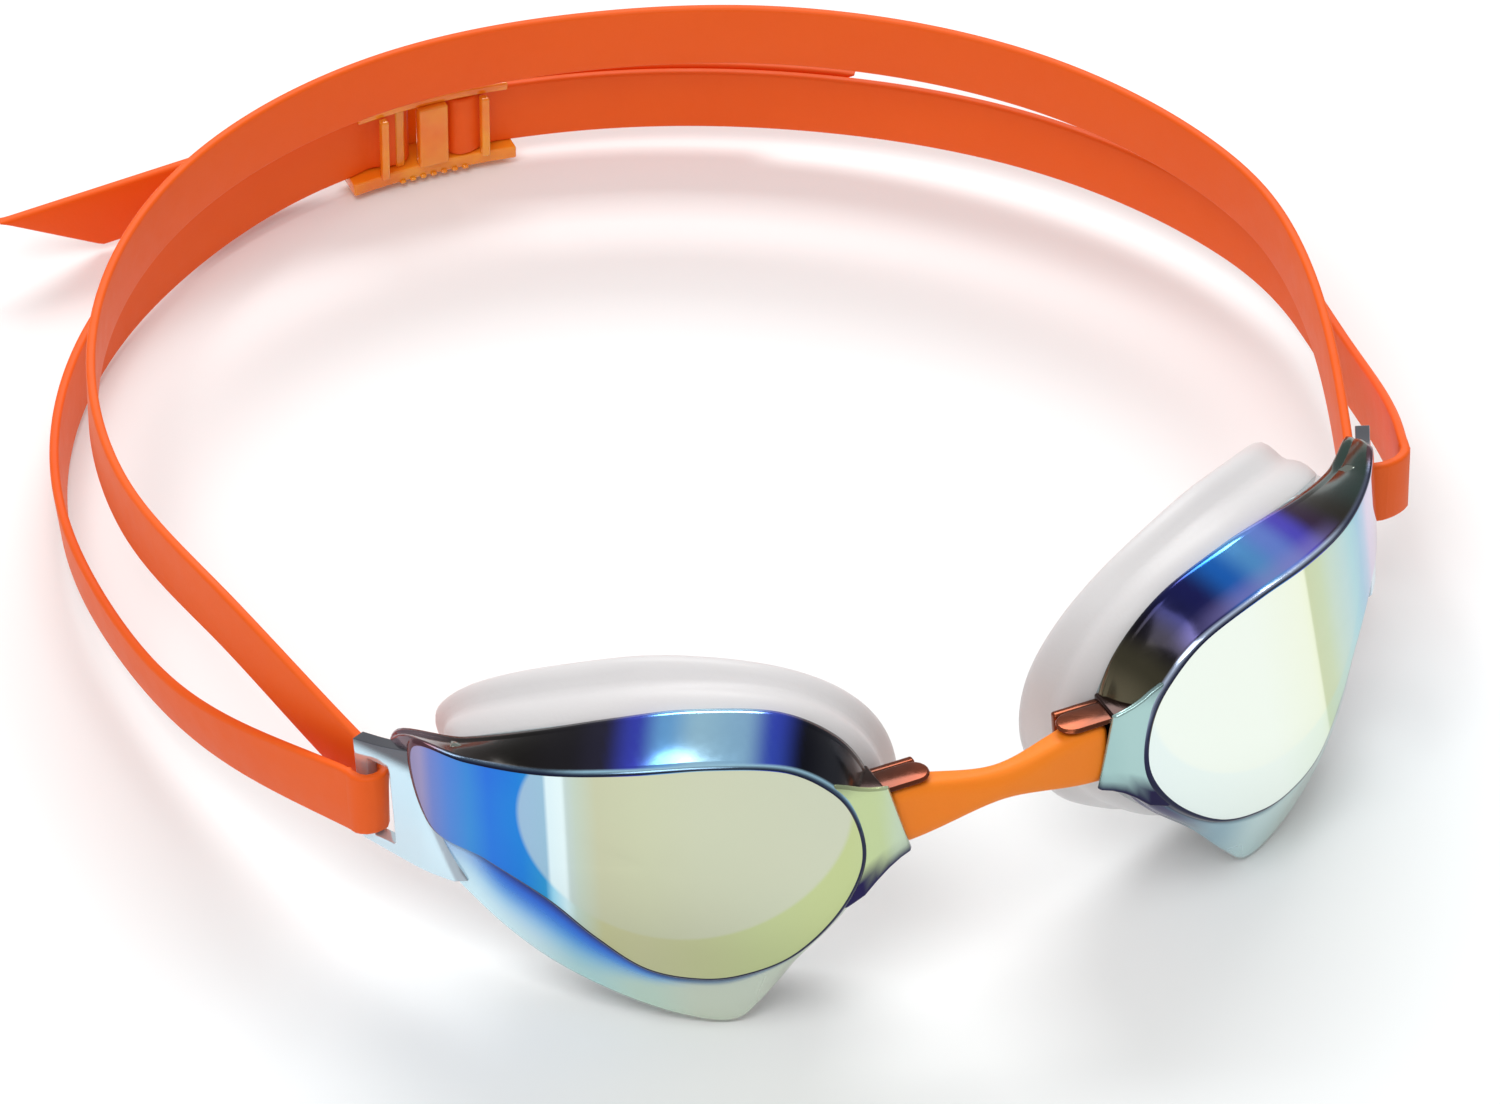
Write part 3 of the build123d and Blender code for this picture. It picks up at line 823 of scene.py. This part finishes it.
def gasket_rings():
    """A gasket's outlines: a tucked front, a swelling collar, a valley, and a wide rolled lip."""
    cup = closed_curve(CUP, LENS_POINTS)
    lip = closed_curve(LIP, LENS_POINTS)
    profile = [
        (0.0, -0.4, 8.4), (0.0, 0.5, 8.8), (0.02, 1.2, 9.6), (0.06, 1.75, 10.8), (0.15, 1.9, 12.0),
        (0.3, 1.5, 13.2), (0.45, 0.95, 14.2), (0.65, 0.7, 15.2), (0.85, 0.8, 16.2), (1.0, 0.9, 17.2),
        (1.05, 0.9, 18.2), (1.05, 0.6, 19.0), (1.0, 0.0, 19.6), (1.0, -0.9, 19.8), (0.95, -1.8, 19.6),
        (0.85, -2.6, 18.8), (0.7, -3.0, 17.6), (0.5, -3.0, 15.6), (0.2, -3.0, 12.6), (0.0, -2.7, 10.2),
        (0.0, -2.0, 9.0), (0.0, -1.2, 8.5),
    ]
    rings = []
    for share, out, depth in profile:
        outline = moved_outwards(cup + (lip - cup) * share, out)
        rings.append([lens_point(u, z, depth) for u, z in outline])
    return rings


def build_gasket(side_name):
    builder = bmesh.new()
    rings = gasket_rings()
    rings.append(rings[0])
    ring_mesh(builder, rings, SIDES[side_name], close_ends=False)
    bmesh.ops.remove_doubles(builder, verts=builder.verts, dist=1e-6)
    gasket = new_object(f"{side_name}_gasket_skin", builder)
    return finish_piece(gasket, [f"{side_name}_gasket"], "front", GASKET_WHITE)


# ---------------------------------------------------------------- nose bridge


BRIDGE_END = 16.2
BRIDGE_WAIST = 15.0
BRIDGE_STEPS = 48
BRIDGE_POINTS = 40


def build_bridge():
    """A bar that is waisted in the middle, arches forward, and ends in a squarer tab at each side."""
    builder = bmesh.new()
    rings = []
    for k in range(BRIDGE_STEPS + 1):
        x = -BRIDGE_END + 2 * BRIDGE_END * k / BRIDGE_STEPS
        reach = abs(x)
        swell = smooth_step(0.0, BRIDGE_WAIST, reach)
        half_height = 2.45 + 2.1 * swell
        half_depth = 2.05 + 0.25 * swell
        squareness = 2.4 + 3.0 * swell
        middle_y = 0.4 - 1.5 * (1 - swell)
        middle_z = -1.0 + 0.5 * (1 - swell)
        end = smooth_step(15.4, BRIDGE_END, reach)
        ring = []
        for i in range(BRIDGE_POINTS):
            angle = 2 * pi * i / BRIDGE_POINTS
            c, s = cos(angle), sin(angle)
            radius = (abs(c) ** squareness + abs(s) ** squareness) ** (-1 / squareness)
            y = middle_y + (half_depth - 0.5 * end) * radius * c
            z = middle_z + (half_height - 0.5 * end) * radius * s
            ring.append(Vector((x, y, z)))
        rings.append(ring)
    ring_mesh(builder, rings, 1)
    bridge = new_object("bridge_bar", builder)
    return finish_piece(bridge, ["nose_bridge"], "nose_bridge", BRIDGE_ORANGE)


# ---------------------------------------------------------------- strap

# Heights of each band's middle, in millimetres over the floor, and how far its top leans towards the
# head, in degrees: from just behind the wearer's right lug, round the back, to the left lug. A
# least-squares fit to the strap's edges in the photograph gave these four lists, and only three of
# the lower heights were changed.
UPPER_HEIGHTS = [22.8, 30.1, 25.8, 24.4, 24.2, 24.1, 24.5, 25.8, 26.3, 25.7, 25.9, 22.8]
UPPER_LEAN = [0, -1, -1, 0, -1, -1, 0, 0, 0, 0, 0, 0]
LOWER_HEIGHTS = [22.8, 12.9, 9.3, 6.8, 6.6, 8.6, 8.8, 9.2, 10.1, 10.4, 11.5, 22.8]
LOWER_LEAN = [0, -12, -8, -4, -3, -1, 0, 0, 0, 0, 0, 0]
RING_STEPS = 260
TAIL_LENGTH = 60.5
TAIL_DROP = 3.4
TAIL_SLOPE = 0.02
TAIL_CUT = 15.0
TAIL_STEPS = 12
RIGHT_TAIL_TIP = 50.5
LEG_BULGE = 3.2
LEG_BULGE_LENGTH = 50.0
LEG_STEPS = 24
LEG_SWING = 0.9
LUG_STEPS = 20
CORNER_SHARE = 0.36
CORNER_STEPS = 4
SKEW_POWER = 1.3
PLAN_SMOOTHING = 80
LINE_SPACING = 0.8

# The strap inside the buckle: it turns round a hidden wrap bar and comes out behind itself
WRAP_X = 4.7
WRAP_RADIUS = 1.65
WRAP_BEHIND = 0.95
WRAP_RUN_IN = ((9.0, 0.6), (6.6, -0.3))
WRAP_STEPS = 12
RIGHT_TAIL_BEHIND = 1.9


def ring_plan(shift):
    """Points of the oval ring seen from above, in millimetres, from the right lug to the left one."""
    hinge_x, hinge_y = BAR.x, BAR_AXIS.y / MM
    width = RING_HALF_WIDTH + shift
    depth = RING_BACK_Y - RING_SIDE_Y + shift
    half = []
    steps = RING_STEPS // 2
    for k in range(steps + 1):
        angle = pi / 2 * k / steps
        x = width * cos(angle) ** (2 / RING_FULLNESS) if k < steps else 0.0
        y = RING_SIDE_Y + depth * sin(angle) ** (2 / RING_FULLNESS)
        half.append((x, y))
    run_in = []
    start = np.array((hinge_x + shift, hinge_y))
    side = np.array(half[0])
    for k in range(LEG_STEPS):
        t = k / LEG_STEPS
        reach = start + (side - start) * t
        swing = (side[0] - start[0]) * (sin(t * pi / 2) - t) * LEG_SWING
        run_in.append((reach[0] + swing, reach[1]))
    left = np.array(run_in + half)
    right = left[::-1] * np.array((-1, 1))
    ring = np.vstack([left[:-1], right])[::-1]
    behind = np.maximum(ring[:, 1] - RING_SIDE_Y, 0) / (RING_BACK_Y - RING_SIDE_Y)
    ring[:, 0] -= RING_SKEW * behind**SKEW_POWER
    ring = resampled(ring, 1.0)
    for _ in range(PLAN_SMOOTHING):
        ring[1:-1] = (ring[:-2] + 2 * ring[1:-1] + ring[2:]) / 4
    return ring


def resampled(points, spacing):
    """The same line with evenly spaced points."""
    given = np.array(points, float)
    along = distances_along(given)
    count = max(int(round(along[-1] / spacing)), 2)
    where = np.linspace(0, along[-1], count + 1)
    return np.stack([np.interp(where, along, given[:, k]) for k in range(given.shape[1])], axis=1)


def band_line(shift, heights, leans):
    """A band's centre line with its height and lean: rows of x, y, z and lean."""
    plan = ring_plan(shift)
    along = distances_along(plan)
    shares = along / along[-1]
    return np.array([(*p, between(heights, t), between(leans, t)) for p, t in zip(plan, shares)])


def ribbon_mesh(builder, line, width, thickness, taper=None):
    """A flat band with rounded edges, swept along a line of x, y, z and lean in millimetres.

    taper gives the lower and the upper edge, as shares of the width, at each point.
    """
    centre = line[:, :3]
    tangents = np.gradient(centre, axis=0)
    tangents /= np.linalg.norm(tangents, axis=1)[:, None]
    rings = []
    corner = thickness * CORNER_SHARE
    for k, (point, tangent) in enumerate(zip(centre, tangents)):
        flat = np.array((tangent[0], tangent[1], 0.0))
        flat /= np.linalg.norm(flat)
        outwards = np.array((-flat[1], flat[0], 0.0))
        lean = radians(line[k, 3])
        upwards = np.cross(outwards, tangent)
        upwards *= 1 if upwards[2] > 0 else -1
        across = upwards * cos(lean) - outwards * sin(lean)
        through = outwards * cos(lean) + upwards * sin(lean)
        low, high = taper[k] if taper is not None else (-0.5, 0.5)
        ring = []
        for sign_w, sign_t, start in ((1, 1, 0), (-1, 1, 1), (-1, -1, 2), (1, -1, 3)):
            edge = (high if sign_w > 0 else low) * width
            limit = min(corner, max((high - low) * width * 0.4, 0.02))
            for i in range(CORNER_STEPS + 1):
                angle = (start + i / CORNER_STEPS) * pi / 2
                a = edge - sign_w * limit + limit * cos(angle)
                b = sign_t * (thickness / 2 - corner) + corner * sin(angle)
                ring.append(Vector(point + across * a + through * b) * MM)
        rings.append(ring)
    rows = [[builder.verts.new(p) for p in ring] for ring in rings]
    join_rows(builder, rows)
    for row in (rows[0], rows[-1]):
        cap = builder.faces.new(row)
        for edge in cap.edges:
            edge.smooth = False


def lug_turn(side):
    """The half turn round a lug's bar, from the inner leg to the outer one, in the front's place."""
    points = []
    spread = LEG_RADIUS + LEG_BULGE / 2 * (side > 0)
    for k in range(LUG_STEPS + 1):
        angle = pi * k / LUG_STEPS
        x = BAR.x - LEG_RADIUS + spread * (1 - cos(angle))
        points.append(placed((x, BAR.y - LEG_RADIUS * sin(angle), BAR.z), side) / MM)
    return np.hstack([points, np.zeros((LUG_STEPS + 1, 1))])


def with_turns(line):
    """The upper band with the half turn at each lug's bar added to its ends."""
    return np.vstack([lug_turn(-1)[::-1][:-1], line[1:-1], lug_turn(1)[1:]])


def smoothed(line, rounds, keep):
    """The line with its inner points eased towards their neighbours, and its ends kept."""
    result = line.copy()
    for _ in range(rounds):
        middle = (result[:-2] + result[2:]) / 2
        eased = (result[1:-1] + middle) / 2
        result[keep:-keep] = eased[keep - 1:1 - keep]
    return result


def build_upper_strap():
    builder = bmesh.new()
    line = with_turns(band_line(-LEG_RADIUS, UPPER_HEIGHTS, UPPER_LEAN))
    line = smoothed(resampled(line, LINE_SPACING), rounds=6, keep=8)
    ribbon_mesh(builder, line, STRAP_WIDTH, STRAP_THICKNESS)
    strap = new_object("upper_strap", builder)
    strap.data.materials.append(STRAP_ORANGE)
    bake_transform(strap)
    nodes = ["upper_strap_band", "left_strap_loop", "right_strap_loop"]
    return finish_piece(strap, nodes)


def slanting_cut(line, length):
    """Lower and upper edges of a strap whose end is cut at a slant, up to a tip at its upper edge."""
    along = distances_along(line[:, :3])
    return [(0.48 - 0.98 * min(rest / length, 1.0), 0.5) for rest in along[-1] - along]


def half_lower(side):
    """One half of the lower band: from its lug to the buckle, round the wrap bar and out as a tail."""
    line = band_line(LEG_RADIUS, LOWER_HEIGHTS, LOWER_LEAN)
    if side > 0:
        line = line[::-1]
        line[:, 3] *= -1
        behind = [smooth_step(0.1, 1.0, (y - BAR_AXIS.y / MM) / LEG_BULGE_LENGTH) for y in line[:, 1]]
        line[:, 0] += LEG_BULGE * (1 - np.array(behind)) * (line[:, 0] > 0)
    entry = BUCKLE_X + side * (BUCKLE_LENGTH / 2 - 1.0)
    turn = lug_turn(side)
    keep = [*turn[len(turn) // 2:], *(p for p in line[1:] if side * (p[0] - entry) > 0)]
    ring_y = keep[-1][1]
    wrap_x = BUCKLE_X + side * WRAP_X
    middle_y = ring_y + WRAP_BEHIND
    path = [(BUCKLE_X + side * x, ring_y + y) for x, y in WRAP_RUN_IN]
    for k in range(WRAP_STEPS + 1):
        angle = -pi / 2 + pi * k / WRAP_STEPS
        path.append((wrap_x - side * WRAP_RADIUS * cos(angle), middle_y + WRAP_RADIUS * sin(angle)))
    tail = [(x, y, BACK_HEIGHT, 0.0) for x, y in path]
    out_y = middle_y + WRAP_RADIUS
    if side < 0:
        for share in np.arange(1, TAIL_STEPS + 1) / TAIL_STEPS:
            run = TAIL_LENGTH * share
            tail.append((wrap_x - run, out_y + TAIL_SLOPE * run, BACK_HEIGHT - TAIL_DROP * share, 0.0))
    else:
        reach = band_line(LEG_RADIUS + RIGHT_TAIL_BEHIND, LOWER_HEIGHTS, LOWER_LEAN)
        outside = [p for p in reach if wrap_x + 4 < p[0] < RIGHT_TAIL_TIP and p[1] > RING_SIDE_Y]
        tail += [(p[0], p[1], p[2], 0.0) for p in outside]
    return smoothed(resampled(np.vstack([keep, tail]), LINE_SPACING), rounds=3, keep=3)


def build_lower_strap():
    builder = bmesh.new()
    for side in (-1, 1):
        line = half_lower(side)
        ribbon_mesh(builder, line, STRAP_WIDTH, STRAP_THICKNESS, slanting_cut(line, TAIL_CUT))
    strap = new_object("lower_strap", builder)
    strap.data.materials.append(STRAP_ORANGE)
    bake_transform(strap)
    return finish_piece(strap, ["lower_strap_band"])


# ---------------------------------------------------------------- buckle


# The buckle's parts, before it is bent to the ring: x from its middle, y outwards, z from its middle
RAIL = 2.2
OUTER_BAR = (7.1, 8.3)
WRAP_BAR = (4.0, 5.4)
CENTRE_BAR = 2.2
BACK_BAR = 2.4
RIDGES = 7
RIDGE_SPACING = 1.6


def build_buckle():
    """A curved frame with two rails, bars between them, and a serrated grip under the lower rail."""
    builder = bmesh.new()
    half = STRAP_WIDTH / 2 + 0.25

    def bar(low_x, high_x, low_y, high_y, low_z, high_z, parts):
        columns = [low_x + (high_x - low_x) * k / parts for k in range(parts + 1)]
        rows = []
        for x in columns:
            corners = ((low_y, low_z), (high_y, low_z), (high_y, high_z), (low_y, high_z))
            rows.append([builder.verts.new((x, y, z)) for y, z in corners])
        join_rows(builder, rows)
        builder.faces.new(rows[0])
        builder.faces.new(rows[-1])

    reach = BUCKLE_LENGTH / 2
    top = half + RAIL * 0.6
    bar(-reach + 1.0, reach - 1.0, 0.3, 5.0, half, top, 14)
    bar(-reach, reach, 0.1, 5.4, -half - RAIL, -half, 14)
    for side in (-1, 1):
        bar(*sorted(side * x for x in OUTER_BAR), -1.0, 0.4, -half, half, 2)
        bar(*sorted(side * x for x in WRAP_BAR), 0.9, 2.3, -half, half, 2)
    bar(-CENTRE_BAR, CENTRE_BAR, -0.6, 1.2, -half, half, 4)
    bar(-BACK_BAR, BACK_BAR, 5.3, 6.9, -top, top, 4)
    for k in range(RIDGES):
        x = RIDGE_SPACING * (k - (RIDGES - 1) / 2)
        bar(x - 0.45, x + 0.45, -0.35, 5.2, -half - RAIL - 0.1, -half - RAIL + 0.5, 1)
    buckle = new_object("back_buckle", builder)
    add_modifier(buckle, "BEVEL", width=0.38, segments=3, limit_method="ANGLE")
    apply_modifiers(buckle)
    plan = ring_plan(0.0)
    order = np.argsort(plan[:, 0])
    for vertex in buckle.data.vertices:
        x = BUCKLE_X + vertex.co.x
        ring_y = np.interp(x, plan[order, 0], np.where(plan[order, 1] > 0, plan[order, 1], 0))
        vertex.co = Vector((x, ring_y + vertex.co.y, BACK_HEIGHT + vertex.co.z)) * MM
    return finish_piece(buckle, ["buckle"], "lower_band", BUCKLE_AMBER)


# ---------------------------------------------------------------- floor, light and camera


FLOOR_REACH = 8.0
FLOOR_GAP = 0.0001


def build_floor():
    builder = bmesh.new()
    signs = ((-1, -1), (1, -1), (1, 1), (-1, 1))
    builder.faces.new([builder.verts.new((x * FLOOR_REACH, y * FLOOR_REACH, 0.0)) for x, y in signs])
    floor = new_object("floor", builder)
    floor.location.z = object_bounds()[0][2] - FLOOR_GAP
    material, _, shader, _ = node_material("floor_paper")
    shader.inputs["Base Color"].default_value = (0.917, 0.94, 0.943, 1.0)
    shader.inputs["Roughness"].default_value = 0.75
    shader.inputs["Specular IOR Level"].default_value = 0.2
    floor.data.materials.append(material)


def area_light(name, place, size, watts):
    """A softbox that faces the frame's origin."""
    data = bpy.data.lights.new(name, "AREA")
    data.shape = "RECTANGLE"
    data.size, data.size_y = size
    data.energy = watts
    light = bpy.data.objects.new(name, data)
    light.location = place
    light.rotation_euler = (-Vector(place)).to_track_quat("-Z", "Y").to_euler()
    bpy.context.scene.collection.objects.link(light)


def build_studio():
    world = bpy.data.worlds.new("studio")
    world.use_nodes = True
    background = world.node_tree.nodes["Background"]
    background.inputs["Color"].default_value = (1.0, 1.0, 1.0, 1.0)
    background.inputs["Strength"].default_value = 0.47
    bpy.context.scene.world = world
    area_light("key_softbox", (-0.55, -0.5, 1.5), (1.0, 0.8), 12.0)
    area_light("back_softbox", (0.5, 1.1, 1.2), (1.2, 0.6), 16.0)


CAMERA_AZIMUTH = 24.0
CAMERA_ELEVATION = 43.5
CAMERA_DISTANCE = 1.8
CAMERA_LENS = 317.5
CAMERA_SENSOR = 36.0
AIM_LEFT = 0.03343
AIM_UP = 0.03028


def build_camera():
    """The photograph's view: from the wearer's right front and above, with a long lens."""
    azimuth = radians(CAMERA_AZIMUTH)
    elevation = radians(CAMERA_ELEVATION)
    right = Vector((cos(azimuth), -sin(azimuth), 0))
    ahead = Vector((sin(azimuth) * cos(elevation), cos(azimuth) * cos(elevation), -sin(elevation)))
    up = right.cross(ahead)
    target = FRONT - right * AIM_LEFT + up * AIM_UP
    data = bpy.data.cameras.new("camera")
    data.lens = CAMERA_LENS
    data.sensor_width = CAMERA_SENSOR
    data.clip_end = 20.0
    camera = bpy.data.objects.new("camera", data)
    turned = Matrix((right, up, -ahead)).transposed().to_4x4()
    camera.matrix_world = Matrix.Translation(target - ahead * CAMERA_DISTANCE) @ turned
    bpy.context.scene.collection.objects.link(camera)
    bpy.context.scene.camera = camera


# ---------------------------------------------------------------- everything together

for side_name in SIDES:
    finish_piece(build_lens(side_name), [f"{side_name}_lens"], "front")
    build_fittings(side_name)
    build_gasket(side_name)
build_bridge()
build_upper_strap()
build_lower_strap()
build_buckle()
build_floor()
build_studio()
build_camera()

bpy.context.scene.view_settings.view_transform = "Standard"
